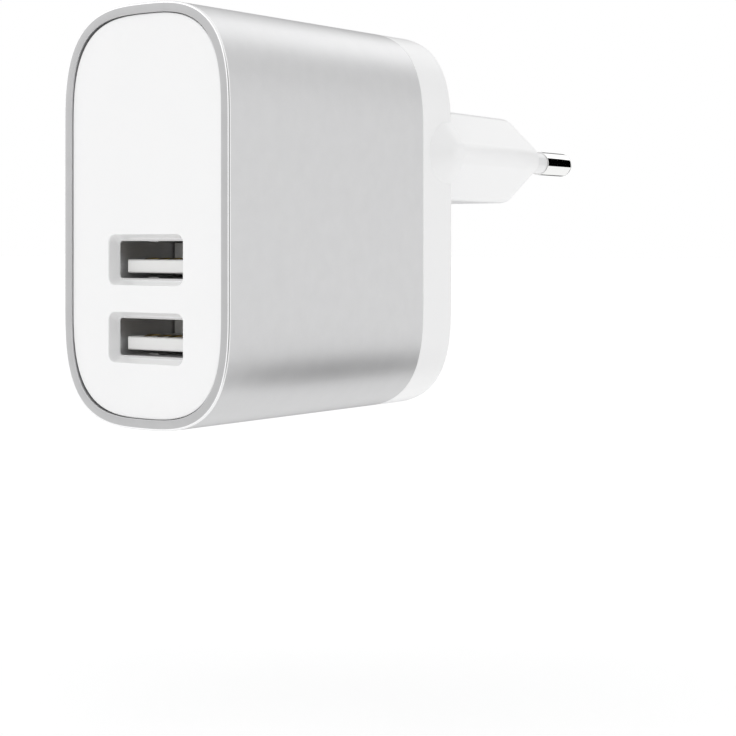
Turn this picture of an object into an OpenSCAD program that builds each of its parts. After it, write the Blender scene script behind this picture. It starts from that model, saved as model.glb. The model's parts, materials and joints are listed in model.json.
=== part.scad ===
// Two-port USB wall charger with a fixed flat mains plug.
// Frame: the origin is the middle of the plug's end face, where the pins leave it.
// +Y runs along the pins towards the wall, +Z is up, and the ports face -Y.

/* [Body] */
// Width of the body
body_w = 30.5; // [30:0.5:37]
// Height of the body
body_h = 57.8; // [56:0.2:70]
// Height taken by each rounded end of the outline
round_h = 16.9; // [14:0.1:20]
// Power of the outline's corner curve, where 2 is an ellipse and more is squarer
corner_power = 3; // [2.6:0.1:4]

/* [Sleeve] */
// Length of the metal sleeve
sleeve_l = 44.7; // [44:0.1:60]
// Wall of the metal sleeve
sleeve_wall = 1.45; // [1.2:0.05:1.8]
// Width of the bright cut along the sleeve's front edge
cut_edge = 0.3; // [0.1:0.05:0.5]

/* [Front cover] */
// How far the front cover sits behind the sleeve's edge
face_recess = 0.3; // [0:0.05:0.6]
// Thickness of the front cover's plate
face_t = 2.4; // [2.2:0.1:3]
// Length of the skirt behind the plate
skirt_l = 4; // [3:0.5:5]
// Wall of the skirt
skirt_wall = 1; // [0.8:0.1:1.3]

/* [Inner housing] */
// Wall of the plastic tube between the sleeve and the circuit
housing_wall = 1.3; // [1:0.1:1.6]
// How far the tube reaches into the rear cover
spigot_l = 4; // [2.5:0.5:5]
// Width of the snap hooks that hold both covers
snap_w = 6; // [4:0.5:8]
// Height of the snap hooks
snap_h = 0.5; // [0.3:0.1:0.6]

/* [Rear cover] */
// Length of the rear cover, without its plug
cover_l = 8.2; // [7.5:0.1:12]
// Thickness of its back wall
cover_back_t = 2; // [1.6:0.1:2.6]
// Width of the chamfer round its back edge
cover_edge = 0.8; // [0.2:0.1:1.2]

/* [Plug] */
// Height of the plug's middle above the body's middle
plug_up = 10.2; // [6:0.1:12]
// Width of the plug at the body
plug_w = 35.3; // [34.6:0.1:36]
// Width of the plug at the pins
plug_tip_w = 30.8; // [30:0.1:35]
// Thickness of the plug
plug_t = 14.2; // [13:0.1:14.4]
// Length of the plug, from the back of the body to the pins
plug_l = 26.4; // [18:0.1:32]
// Height of the narrow flat along each side of the plug
plug_edge_t = 2.2; // [1.5:0.1:4]
// Width that each slanted side takes
plug_slant_w = 6.3; // [5:0.1:7.4]
// Wall of the hollow plug
plug_wall = 1.8; // [1.4:0.1:2.2]
// Thickness of the plug's end wall
plug_end_t = 4; // [3:0.1:5]
// Radius of the cone that joins each side of the plug to the body
gusset_r = 4.7; // [4:0.1:6]
// How far in front of the body's back each cone is
gusset_y = 1.8; // [1:0.1:3]
// Width of the chamfer round the plug's end
plug_edge = 0.5; // [0.2:0.1:1]

/* [Pins] */
// Diameter of a pin's bare end
pin_d = 4; // [3.9:0.02:4.1]
// Length of a pin outside the plug
pin_l = 19.3; // [18.5:0.1:19.5]
// Distance between the pins where they leave the plug
pin_pitch = 18.6; // [18.2:0.1:19]
// Distance between the pins at their tips
pin_tip_pitch = 17.5; // [17.2:0.1:18.2]
// Diameter of a pin inside its collar
pin_core_d = 3; // [2.6:0.1:3.2]
// Rounding of a pin's tip
pin_round = 1.2; // [0.5:0.1:1.8]
// Diameter of the insulating collar
collar_d = 3.65; // [3.5:0.05:3.8]
// Length of the collar outside the plug
collar_l = 10; // [9.5:0.1:11]

/* [USB ports] */
// Distance between the two ports
port_pitch = 10.6; // [9.5:0.1:12.8]
// Distance from the body's middle down to the upper port
port_down = 5.9; // [5:0.1:7]
// Width of the pocket in front of a port
pocket_w = 13.9; // [13.8:0.1:16]
// Height of the pocket in front of a port
pocket_h = 7.1; // [6.6:0.1:8.5]
// How far a port's mouth is behind the sleeve's edge
port_depth = 2; // [1.5:0.1:2.4]
// Width of the opening in a port's shell
opening_w = 12.5; // [12.4:0.05:12.6]
// Height of the opening in a port's shell
opening_h = 5.12; // [5:0.02:5.2]
// Thickness of the shell
shell_t = 0.3; // [0.2:0.05:0.4]
// Length of the shell
shell_l = 14; // [13:0.1:17]
// Width of the tongue
tongue_w = 11.1; // [10.9:0.05:11.2]
// Thickness of the tongue
tongue_t = 1.84; // [1.8:0.02:1.9]
// Gap between the tongue and the bottom of the shell
tongue_gap = 0.74; // [0.5:0.02:0.9]
// How far the tongue's tip is behind the port's mouth
tongue_back = 0.6; // [0.3:0.1:1]
// Length of the insulator's solid back end
port_base_l = 3.3; // [2.5:0.1:4]

/* [Contact springs] */
// Width of a contact
contact_w = 1; // [0.8:0.05:1.1]
// Thickness of a contact
contact_t = 0.25; // [0.15:0.05:0.3]
// How far a contact's crest stands above the tongue
crest_h = 0.25; // [0.2:0.05:0.4]
// Depth of a contact's groove
groove_d = 1.15; // [1.1:0.05:1.3]

/* [Circuit boards] */
// Thickness of the boards
board_t = 1.6; // [1:0.1:2]
// Room behind the main board for its solder
solder_room = 3; // [2.6:0.1:3.4]
// Thickness of the ribs that hold the main board's edges
rail_t = 1.2; // [0.8:0.1:1.6]

/* [Hidden] */
$fn = 48;

clearance = 0.1;    // between pieces that slide together
slip = 0.04;        // between a pin or contact and the part that holds it
seat = 0.05;        // under a part that stands on a board
gap = 0.3;          // between parts that stand side by side
cut = 1;            // how far a cutting shape runs past a face
leg_d = 0.8;        // wire leg of a part
lead_room = 3;      // behind the back wall, for the strips from the pins
sheet_room = 1.5;   // beside the tall parts, for the insulating film

// Along Y, from the wall to the room.
back_y = -plug_l;
seam_y = back_y - cover_l;
front_y = seam_y - sleeve_l;
face_y = front_y + face_recess;
plate_y = face_y + face_t;
mouth_y = front_y + port_depth;
body_z = -plug_up;
upper_port_z = body_z - port_down;
lower_port_z = upper_port_z - port_pitch;

// Outlines, by how far each is inside the outer one.
cover_in = sleeve_wall + clearance / 2;
housing_out = sleeve_wall + clearance;
housing_in = housing_out + housing_wall;
skirt_out = housing_in + clearance;
room_half_w = body_w / 2 - housing_in;

// The main board stands on edge, with its parts towards +X.
board_back_x = -room_half_w + solder_room;
board_face_x = board_back_x + board_t;
board_h = 2 * (outline_z(housing_in, board_back_x) - gap);
board_top = body_z + board_h / 2;
board_bottom = body_z - board_h / 2;
board_front_y = plate_y + skirt_l / 2;
board_back_y = back_y - cover_back_t - lead_room;
rail_grip = 1;                                         // how far a rib covers the board's edge
part_room = room_half_w - board_face_x - sheet_room;   // how tall a part may be

// The USB board stands across the back of the ports.
usb_board_y = mouth_y + shell_l + seat;
usb_board_back_y = usb_board_y + board_t;
usb_board_left = board_face_x + seat;
usb_board_right = opening_w / 2 + 3;
usb_board_top = upper_port_z + 8;
usb_board_bottom = lower_port_z - 4.5;

// A port, measured from the middle of its opening.
tongue_z = -opening_h / 2 + tongue_gap + tongue_t / 2;
tongue_top = tongue_z + tongue_t / 2;
tongue_tip_y = mouth_y + tongue_back;
port_base_y = mouth_y + shell_l - port_base_l;
pivot_y = port_base_y - 0.1;
tongue_land = 0.7;                   // the solid tip of the tongue
root_down = 0.45;                    // a contact's root, below the tongue's top
contact_x = [-3.5, -1, 1, 3.5];

// A pin leans towards its neighbour, and a flange behind the end wall holds it.
pin_lean = atan((pin_pitch - pin_tip_pitch) / 2 / pin_l);
flange_d = 5.8;
flange_t = 2;
flange_end = plug_end_t + clearance + flange_t;
pin_tail_d = 2.5;
pin_tail_l = 4.5;
clamp_t = 2.5;
clamp_y = -flange_end - clearance;
pin_end = flange_end + clamp_t + pin_tail_l;
lead_t = 0.6;
lead_w = 2.4;

// ---------- shared shapes ----------

// Half the height of the outline, inset by so much, at x from its middle.
function outline_z(inset, x) =
    let (p = corner_power, w = body_w / 2 - inset, r = round_h - inset)
    body_h / 2 - round_h + r * pow(1 - pow(abs(x) / w, p), 1 / p);

// The body's outline, moved in by inset, as points in X and Z. Each corner is a
// curve of the named power, and straight sides join them.
function outline(inset, steps = 20) =
    let (w = body_w / 2 - inset,
         q = [for (i = [0:steps]) let (x = w * pow(cos(90 * i / steps), 2 / corner_power))
             [x, outline_z(inset, x)]])
    concat(q,
        [for (i = [steps - 1:-1:0]) [-q[i][0], q[i][1]]],
        [for (i = [0:steps]) [-q[i][0], -q[i][1]]],
        [for (i = [steps - 1:-1:0]) [q[i][0], -q[i][1]]]);

// A prism of an outline in X and Z, running from y0 to y1.
module along_y(y0, y1) translate([0, y1, 0]) rotate([90, 0, 0]) linear_extrude(y1 - y0) children();

module body_prism(inset, y0, y1)
    translate([0, 0, body_z]) along_y(y0, y1) polygon(outline(inset));

// A solid through outlines in X and Z, one at each place along Y, with as many points each.
module loft(outlines, places) {
    n = len(outlines[0]);
    last = len(places) - 1;
    points = [for (k = [0:last], p = outlines[k]) [p[0], places[k], p[1]]];
    sides = [for (k = [0:last - 1], i = [0:n - 1])
        let (a = k * n + i, b = k * n + (i + 1) % n) each [[a, b, b + n], [a, b + n, a + n]]];
    polyhedron(points, concat(sides, [[for (i = [n - 1:-1:0]) i], [for (i = [0:n - 1]) last * n + i]]));
}

// A box with its middle at x and z, running from y0 to y1.
module block(x, z, w, h, y0, y1) translate([x - w / 2, y0, z - h / 2]) cube([w, y1 - y0, h]);

function round_rect(w, h, r, steps = 4) =
    [for (q = [0:3], i = [0:steps])
        let (a = 90 * (q + i / steps), sx = q == 0 || q == 3 ? 1 : -1, sz = q < 2 ? 1 : -1)
        [sx * (w / 2 - r) + r * cos(a), sz * (h / 2 - r) + r * sin(a)]];

// One side of a strip t thick that follows the points p, to the left where s is 1.
function strip_side(p, t, s) =
    [for (i = [0:len(p) - 1])
        let (a = p[max(i - 1, 0)], b = p[i], c = p[min(i + 1, len(p) - 1)],
             u = i == 0 ? (c - b) / norm(c - b) : (b - a) / norm(b - a),
             v = i == len(p) - 1 ? u : (c - b) / norm(c - b))
        b + s * t / (1 + u * v) / 2 * [-(u[1] + v[1]), u[0] + v[0]]];

// A strip t thick and w wide that follows the points p.
module strip(p, t, w) {
    left = strip_side(p, t, 1);
    right = strip_side(p, t, -1);
    translate([0, 0, -w / 2]) linear_extrude(w)
        polygon(concat(left, [for (i = [len(p) - 1:-1:0]) right[i]]));
}

// Stands its children on the main board: their Z becomes +X, their X becomes -Z.
module on_board(y, z) translate([board_face_x + seat, y, z]) rotate([0, 90, 0]) children();

// The same on the board's other side: their Z becomes -X, their X becomes +Z.
module behind_board(y, z) translate([board_back_x - seat, y, z]) rotate([0, -90, 0]) children();

// Two wire legs under a part that is held off the board.
module legs(spread, h) for (s = [-1, 1]) translate([s * spread / 2, 0, 0])
    cylinder(h = h, d = leg_d, $fn = 16);

// ---------- casing ----------

// Hooks at the top and bottom of an outline, grown by so much on every side.
module snap_hooks(inset, y, grow = 0) for (s = [-1, 1])
    block(0, body_z + s * (body_h / 2 - inset), snap_w + 2 * grow, 2 * (snap_h + grow),
        y - 0.6 - grow, y + 0.6 + grow);

front_snap_y = plate_y + skirt_l / 2;
rear_snap_y = seam_y + spigot_l / 2;

// A white plate that fits inside the sleeve's front edge, with a skirt behind it.
module front_cover() color("white") {
    difference() {
        union() {
            body_prism(cover_in, face_y, plate_y);
            difference() {
                body_prism(skirt_out, plate_y - cut, plate_y + skirt_l);
                body_prism(skirt_out + skirt_wall, face_y + face_t / 2, plate_y + skirt_l + cut);
            }
            snap_hooks(skirt_out, front_snap_y);
        }
        for (z = [upper_port_z, lower_port_z]) translate([0, 0, z]) {
            pocket();
            block(0, 0, opening_w + 2 * (shell_t + clearance),
                opening_h + 2 * (shell_t + clearance), mouth_y - seat, plate_y + cut);
        }
        // The skirt is open where the main board reaches in behind it.
        block((board_back_x + board_face_x) / 2, body_z, board_t + 4 * clearance, body_h,
            board_front_y - clearance, plate_y + skirt_l + cut);
    }
}

// The funnel in front of a port narrows from the face to the shell's mouth.
pocket_r = 1;
module pocket() hull() {
    along_y(face_y - cut / 2, face_y) polygon(round_rect(pocket_w, pocket_h, pocket_r));
    along_y(mouth_y - clearance, mouth_y)
        polygon(round_rect(opening_w + 2 * (shell_t + clearance),
            opening_h + 2 * (shell_t + clearance), pocket_r / 2));
}

module sleeve() color("silver") difference() {
    translate([0, 0, body_z])
        loft([outline(cut_edge), outline(0), outline(0)], [front_y, front_y + cut_edge, seam_y]);
    body_prism(sleeve_wall, front_y - cut, seam_y + cut);
}

// Ribs along both faces of the main board's edges, grown by so much on every side.
module board_ribs(grow = 0)
    for (s = [-1, 1], x = [board_back_x - clearance - rail_t / 2,
        board_face_x + clearance + rail_t / 2])
        block(x, body_z + s * body_h / 2, rail_t + 2 * grow,
            body_h - board_h + 2 * (rail_grip + grow), front_y, board_back_y);

// A tube that keeps the circuit away from the metal, with ribs for the main board.
module inner_housing() color("whitesmoke") difference() {
    union() {
        difference() {
            body_prism(housing_out, plate_y + clearance, seam_y + spigot_l);
            body_prism(housing_in, front_y, seam_y + spigot_l + cut);
        }
        intersection() {
            body_prism(housing_in - housing_wall / 2, plate_y + skirt_l + clearance, board_back_y);
            board_ribs();
        }
    }
    snap_hooks(skirt_out, front_snap_y, clearance);
    snap_hooks(cover_in, rear_snap_y, clearance);
}

// The plug's outline in X and Z, moved in by inset, for a plug w wide.
function plug_outline(w, inset) =
    let (a = w / 2 - inset, b = w / 2 - plug_slant_w - inset / 2,
         e = plug_edge_t / 2, h = plug_t / 2 - inset)
    [[a, e], [b, h], [-b, h], [-a, e], [-a, -e], [-b, -h], [b, -h], [a, -e]];

// The plug inside those walls, which tapers from the body to its end.
module plug_block(inset, y0, y1)
    loft([plug_outline(plug_w, inset), plug_outline(plug_tip_w, inset)], [y0, y1]);

// Half a cone on each side, only where the plug is wider than the body. It runs on to
// the body's back as a wedge.
module plug_gusset(side) {
    reach = (plug_w - body_w) / 2;
    flat_r = plug_edge_t / 2;
    root = 1.2;    // how far it goes into the cover's wall
    root_r = gusset_r + (gusset_r - flat_r) * root / reach;
    x0 = side * (body_w / 2 - root);
    x1 = side * plug_w / 2;
    if (reach > 0) {
        intersection() {
            translate([x0, back_y - gusset_y, 0]) rotate([0, side * 90, 0])
                cylinder(h = reach + root, r1 = root_r, r2 = flat_r);
            block(0, 0, plug_w + cut, plug_t, seam_y + clearance, back_y - gusset_y);
        }
        along_y(back_y - gusset_y - seat, back_y)
            polygon([[x0, root_r], [x1, flat_r], [x1, -flat_r], [x0, -root_r]]);
    }
}

module rear_cover() color("white") {
    difference() {
        union() {
            translate([0, 0, body_z]) loft([outline(0), outline(0), outline(cover_edge)],
                [seam_y, back_y - cover_edge, back_y]);
            plug_block(0, back_y - cover_back_t, -plug_edge);
            loft([plug_outline(plug_tip_w, 0), plug_outline(plug_tip_w, plug_edge)], [-plug_edge, 0]);
            plug_gusset(1);
            plug_gusset(-1);
        }
        body_prism(cover_in, seam_y - cut, seam_y + spigot_l + clearance);
        body_prism(housing_in, seam_y, back_y - cover_back_t);
        plug_block(plug_wall, back_y - cover_back_t - seat, -plug_end_t);
        for (side = [-1, 1]) on_pin(side)
            cylinder(h = 4 * plug_end_t, d = collar_d + 2 * slip, center = true);
    }
    snap_hooks(cover_in, rear_snap_y);
}

// ---------- plug pins ----------

// Places its children on a pin's axis, with their Z running out along the pin.
module on_pin(side) translate([side * pin_pitch / 2, 0, 0]) rotate([0, 0, side * pin_lean])
    rotate([-90, 0, 0]) children();

// A turned pin: thin inside its collar, full size at its bare end, with a soldering tail.
module plug_pin(side) color("silver") on_pin(side) rotate_extrude()
    polygon(concat(
        [[0, -pin_end], [pin_tail_d / 2, -pin_end], [pin_tail_d / 2, -flange_end],
         [flange_d / 2, -flange_end], [flange_d / 2, flange_t - flange_end],
         [pin_core_d / 2, flange_t - flange_end], [pin_core_d / 2, collar_l], [pin_d / 2, collar_l]],
        [for (a = [0:15:90])
            [pin_d / 2 - pin_round + pin_round * cos(a), pin_l - pin_round + pin_round * sin(a)]],
        [[0, pin_l]]));

module pin_collar(side) color("white") on_pin(side) difference() {
    translate([0, 0, -plug_end_t]) cylinder(h = plug_end_t + collar_l - slip, d = collar_d);
    cylinder(h = 4 * collar_l, d = pin_core_d + 2 * slip, center = true);
}

// A plate glued into the hollow plug, which presses on both pins' flanges.
module pin_clamp() color("gainsboro") difference() {
    along_y(clamp_y - clamp_t, clamp_y) polygon(plug_outline(plug_tip_w, plug_wall + 2 * clearance));
    for (side = [-1, 1]) on_pin(side)
        cylinder(h = 6 * plug_end_t, d = pin_tail_d + 2 * gap, center = true);
}

// A brass strip from a pin's tail to the main board: the left one runs behind the board,
// and the right one crosses to the board's face.
module pin_lead(side) color("goldenrod") {
    tail_y = clamp_y - clamp_t - pin_tail_l / 2;
    axis_x = pin_pitch / 2 - sin(pin_lean) * tail_y;
    off = (pin_tail_d + lead_t) / 2 + clearance;
    bend_y = back_y - cover_back_t;
    back_x = board_back_x - seat - lead_t / 2;
    face_x = board_face_x + seat + lead_t / 2;
    if (side < 0)
        strip([[-axis_x - off, tail_y], [-axis_x - off, bend_y],
            [back_x, bend_y - 2], [back_x, board_back_y - 4]], lead_t, lead_w);
    else
        strip([[axis_x - off, tail_y], [axis_x - off, bend_y + 6], [face_x + 3, bend_y - 0.8],
            [face_x, board_back_y], [face_x, board_back_y - 4]], lead_t, lead_w);
}

// ---------- USB ports ----------

// A folded steel shell. A slot round each of its four spring tabs leaves the tab joined
// at its back end.
shell_r = 0.4;
tab_x = 3.2;
tab_w = 1.8;
tab_l = 5.6;
tab_slot = 0.4;
tab_y = mouth_y + 3;
module port_shell(z) color("silver") translate([0, 0, z]) difference() {
    along_y(mouth_y, mouth_y + shell_l) polygon(
        round_rect(opening_w + 2 * shell_t, opening_h + 2 * shell_t, shell_r + shell_t));
    along_y(mouth_y - cut, mouth_y + shell_l + cut)
        polygon(round_rect(opening_w, opening_h, shell_r));
    for (x = [-tab_x, tab_x], s = [-1, 1]) translate([x, 0, s * opening_h / 2]) difference() {
        block(0, 0, tab_w + 2 * tab_slot, 2 * cut, tab_y, tab_y + tab_slot + tab_l);
        block(0, 0, tab_w, 3 * cut, tab_y + tab_slot, tab_y + tab_slot + tab_l + cut);
    }
}

module port_insulator(z) color("white") translate([0, 0, z]) difference() {
    union() {
        block(0, 0, opening_w - 4 * clearance, opening_h - 4 * clearance,
            port_base_y, mouth_y + shell_l - seat);
        block(0, tongue_z, tongue_w, tongue_t, tongue_tip_y, port_base_y + cut);
    }
    for (x = contact_x) {
        block(x, tongue_top, contact_w + gap, 2 * groove_d, tongue_tip_y + tongue_land, port_base_y);
        block(x, tongue_top - root_down, contact_w + 2 * slip, contact_t + 2 * slip,
            port_base_y - cut, mouth_y + shell_l + cut);
    }
}

// The moving leaf of one contact climbs to a crest above the tongue and dips at its tip.
module contact(z, i) color("gold") {
    l = pivot_y - slip - tongue_tip_y - tongue_land - 0.4;
    rise = crest_h + root_down - contact_t / 2;
    line = [[0, 0], [0.45 * l, 0.32 * rise], [0.68 * l, 0.86 * rise], [0.74 * l, 0.97 * rise],
        [0.79 * l, rise], [0.84 * l, 0.94 * rise], [0.89 * l, 0.76 * rise], [l, 0.12 * rise]];
    translate([contact_x[i], pivot_y - slip, z + tongue_top - root_down])
        rotate([90, 0, -90]) strip(line, contact_t, contact_w);
}

// The fixed ends of four contacts run through the insulator and the USB board.
module port_tails(z) color("gold") for (x = contact_x)
    block(x, z + tongue_top - root_down, contact_w, contact_t, pivot_y + slip, usb_board_back_y + 0.8);

// ---------- boards ----------

module main_board() color("seagreen") translate([board_back_x, board_front_y, board_bottom])
    cube([board_t, board_back_y - board_front_y, board_h]);

// It stands across the ports' backs, with its corners cut away round the ribs.
module usb_board() color("seagreen") difference() {
    intersection() {
        translate([usb_board_left, usb_board_y, usb_board_bottom])
            cube([usb_board_right - usb_board_left, board_t, usb_board_top - usb_board_bottom]);
        body_prism(housing_in + clearance, usb_board_y - cut, usb_board_back_y + cut);
    }
    for (x = contact_x, z = [upper_port_z, lower_port_z])
        block(x, z + tongue_top - root_down, contact_w + 2 * clearance, contact_t + 2 * clearance,
            usb_board_y - cut, usb_board_back_y + cut);
    board_ribs(clearance);
}

// Solder bridges in the corner where the USB board meets the main board.
header_l = 2;
header_pitch = 2;
header_n = 6;
module board_header() color("dimgray") for (i = [0:header_n - 1])
    block(board_face_x + seat + header_l / 2,
        (upper_port_z + lower_port_z) / 2 + (i - (header_n - 1) / 2) * header_pitch,
        header_l, header_pitch - gap, usb_board_back_y + seat, usb_board_back_y + seat + header_l);

// ---------- parts on the boards ----------

// The transformer: two ferrite halves, each with a round middle leg and two side legs.
core_w = 19;
core_t = 3;
core_leg_d = 6;
window_w = 3.6;
foot_l = 3;
foot_h = 4.4;
flange_w = 0.8;
bulk_d = 10;
bulk_y = board_back_y - bulk_d / 2 - 0.5;
transformer_front_y = usb_board_back_y + header_l + 2 * gap;
transformer_l = bulk_y - bulk_d / 2 - gap - transformer_front_y;
transformer_y = transformer_front_y + transformer_l / 2;
core_l = transformer_l - 2 * (foot_l + gap);
transformer_z = board_bottom + 2.6 + core_w / 2;
core_base = foot_h - core_t - clearance - 0.3;
core_top = part_room - 2;
bobbin_top = core_top - core_t - clearance;

module transformer_core() color("dimgray") on_board(transformer_y, transformer_z) {
    middle = (core_base + core_top) / 2;
    for (z = [[core_base, middle - slip], [core_top, middle + slip]]) {
        low = min(z[0], z[1]);
        h = abs(z[1] - z[0]);
        plate = z[0] < z[1] ? z[0] : z[0] - core_t;
        translate([-core_w / 2, -core_l / 2, plate]) cube([core_w, core_l, core_t]);
        translate([0, 0, low]) cylinder(h = h, d = core_leg_d);
        leg_w = core_w / 2 - core_leg_d / 2 - window_w;
        for (s = [-1, 1]) translate([s * (core_w - leg_w) / 2 - leg_w / 2, -core_l / 2, low])
            cube([leg_w, core_l, h]);
    }
}

// Its bobbin: a tube with two flanges, on a foot at each end.
module transformer_bobbin() color("black") on_board(transformer_y, transformer_z) difference() {
    union() {
        for (s = [-1, 1]) translate([-core_w / 2 + cut, s * (transformer_l - foot_l) / 2 - foot_l / 2, 0])
            cube([core_w - 2 * cut, foot_l, foot_h + flange_w]);
        r = core_leg_d / 2 + window_w - clearance;
        translate([-r, -transformer_l / 2, foot_h]) cube([2 * r, transformer_l, flange_w]);
        translate([0, 0, foot_h]) cylinder(h = bobbin_top - foot_h, d = core_leg_d + 1.6);
        translate([0, 0, bobbin_top - flange_w]) cylinder(h = flange_w, r = r);
    }
    translate([0, 0, -cut]) cylinder(h = part_room + cut, d = core_leg_d + 2 * clearance);
}

module transformer_winding() color("gold") on_board(transformer_y, transformer_z)
    translate([0, 0, foot_h + flange_w + slip]) difference() {
        cylinder(h = bobbin_top - foot_h - 2 * flange_w - 2 * slip, d = core_leg_d + 2 * window_w - 0.6);
        translate([0, 0, -cut]) cylinder(h = part_room, d = core_leg_d + 1.6 + 2 * slip);
    }

// A can capacitor, with a rolled groove near its foot.
module can(d, h) rotate_extrude() polygon([[0, 0], [d / 2 - 0.3, 0], [d / 2, 0.3], [d / 2, 1.2],
    [d / 2 - 0.35, 1.6], [d / 2, 2], [d / 2, h - 0.4], [d / 2 - 0.4, h], [0, h]]);

module bulk_capacitors() color("midnightblue") for (i = [0, 1])
    on_board(bulk_y, board_bottom + 1.7 + bulk_d / 2 + i * (bulk_d + cut)) can(bulk_d, part_room - 1.5);

output_can_d = 8;
module output_capacitors() color("silver") for (i = [0, 1])
    on_board(plate_y + skirt_l + 2 * gap + output_can_d / 2, body_z + 7.5 + i * (output_can_d + cut))
        can(output_can_d, part_room - 3);

// Parts above the transformer, from the USB board to the plug. Each row starts where
// the one before it ends.
sink_t = 1.5;
sink_w = 16;
package_l = 4.3;
disc_t = 2.4;
sink_h = part_room - 3;
upper_z = body_z + 11.5;
rectifier_y = usb_board_back_y + 2 * gap;
y_cap_y = rectifier_y + sink_t + package_l + gap + disc_t / 2;
switch_y = y_cap_y + disc_t / 2 + cut;
primary_sink_y = switch_y + package_l + slip;
behind_sink_y = primary_sink_y + sink_t + gap;

// The mains choke: a ferrite ring on edge, with a winding round each side. The film
// capacitor fills what is left in front of it.
ring_d = 10.4;
ring_l = 4.5;
ring_bore = 5;
wire_t = 0.7;
choke_y = board_back_y - cut - wire_t - ring_l / 2;
x_cap_l = choke_y - ring_l / 2 - wire_t - gap - behind_sink_y;
x_cap_y = behind_sink_y + x_cap_l / 2;

// A transistor in a flat package with three legs.
module tab_package() {
    translate([-5, 0, 2]) cube([10, package_l, 9]);
    for (x = [-2.54, 0, 2.54]) translate([x - 0.4, package_l / 2, 0]) cube([0.8, 0.5, 2 + slip]);
}
module heatsink() translate([-sink_w / 2, 0, 0]) cube([sink_w, sink_t, sink_h]);

module secondary_heatsink() color("lightgray") on_board(rectifier_y, upper_z) heatsink();
module output_rectifier() color("black") on_board(rectifier_y + sink_t + slip, upper_z) tab_package();
module switch_transistor() color("black") on_board(switch_y, upper_z) tab_package();
module primary_heatsink() color("lightgray") on_board(primary_sink_y, upper_z) heatsink();

// A disc on two legs, standing on its edge.
module disc_part(d, t) {
    translate([0, -t / 2, d / 2 + cut]) rotate([-90, 0, 0]) cylinder(h = t, d = d);
    legs(d / 2, 2 * cut);
}
module y_capacitor() color("royalblue") on_board(y_cap_y, body_z + 8.6) disc_part(7.6, disc_t);
module thermistor() color("darkgreen")
    on_board(behind_sink_y + disc_t / 2, body_z + 4.2) disc_part(7, disc_t);

module x_capacitor() color("gold") on_board(x_cap_y, board_top - 7.6)
    translate([-6.5, -x_cap_l / 2, 0]) cube([13, x_cap_l, 11]);

module fuse() color("saddlebrown") on_board(bulk_y + cut, body_z + 4.3) cylinder(h = 8, d = 7.6);

module on_choke() on_board(choke_y, board_top - ring_d / 2 - wire_t)
    translate([0, 0, 0.2 + wire_t + ring_d / 2]) rotate([90, 0, 0]) children();
module choke_core() color("dimgray") on_choke() difference() {
    cylinder(h = ring_l, d = ring_d, center = true);
    cylinder(h = ring_l + cut, d = ring_bore, center = true);
}
module choke_winding() color("chocolate") on_choke() for (s = [0, 180])
    rotate([0, 0, s - 50]) rotate_extrude(angle = 100) difference() {
        translate([ring_bore / 2 - wire_t, -ring_l / 2 - wire_t])
            square([(ring_d - ring_bore) / 2 + 2 * wire_t, ring_l + 2 * wire_t]);
        translate([ring_bore / 2 - slip, -ring_l / 2 - slip])
            square([(ring_d - ring_bore) / 2 + 2 * slip, ring_l + 2 * slip]);
    }

// A moulded chip with two legs on each side, for either face of a board.
module chip(w, l, h) {
    translate([-w / 2, -l / 2, 0]) cube([w, l, h]);
    for (x = [-w / 4, w / 4]) translate([x - 0.2, -l / 2 - 0.8, 0]) cube([0.4, l + 1.6, gap]);
}
module optocoupler() color("white") on_board(switch_y - cut, body_z + 1.3) chip(4.6, 6.4, 3.4);
module bridge_rectifier() color("black") behind_board(bulk_y, upper_z + 3.2) chip(6.4, 5, 2.2);
module power_controller() color("black") behind_board(transformer_y, body_z + 2) chip(5, 4, 1.5);
module usb_controller() color("black")
    translate([usb_board_right - 4.5, usb_board_back_y + seat, usb_board_top - 4])
        rotate([-90, 0, 0]) chip(5, 4, 1.2);

// Twelve chip resistors and capacitors on the solder side.
module chip_parts() color("tan") for (i = [0:3], j = [0:2])
    behind_board(transformer_y - 4.8 + i * 3.2, body_z - 11 + j * 2.6)
        translate([-0.6, -0.3, 0]) cube([1.2, 0.6, 0.5]);

solder_n = 7;
module solder_joints() color("lightgray") for (i = [0:solder_n - 1], z = [board_bottom + 3, board_top - 3])
    behind_board(board_front_y + 6 + i * (board_back_y - board_front_y - 9) / (solder_n - 1), z)
        cylinder(h = 1.1, r1 = 1.1, r2 = 0.35);

// A film between the tall parts and the housing.
module insulation_sheet() color("lightyellow")
    translate([room_half_w - 2 * gap, usb_board_back_y + gap, body_z - body_h / 5])
        cube([0.25, board_back_y - usb_board_back_y - 2 * gap, 2 * body_h / 5]);

// ---------- one node each ----------

front_cover();
sleeve();
inner_housing();
rear_cover();
plug_pin(-1);  // plug_pin_left
plug_pin(1);  // plug_pin_right
pin_collar(-1);  // pin_collar_left
pin_collar(1);  // pin_collar_right
pin_clamp();
pin_lead(-1);  // pin_lead_left
pin_lead(1);  // pin_lead_right
main_board();
usb_board();
board_header();
port_shell(upper_port_z);  // upper_port_shell
port_shell(lower_port_z);  // lower_port_shell
port_insulator(upper_port_z);  // upper_port_insulator
port_insulator(lower_port_z);  // lower_port_insulator
for (i = [0:3]) {
    contact(upper_port_z, i);
    contact(lower_port_z, i);
}
port_tails(upper_port_z);  // upper_port_tails
port_tails(lower_port_z);  // lower_port_tails
transformer_core();
transformer_bobbin();
transformer_winding();
bulk_capacitors();
output_capacitors();
choke_core();
choke_winding();
bridge_rectifier();
fuse();
x_capacitor();
y_capacitor();
thermistor();
switch_transistor();
primary_heatsink();
output_rectifier();
secondary_heatsink();
optocoupler();
power_controller();
usb_controller();
chip_parts();
solder_joints();
insulation_sheet();
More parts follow.
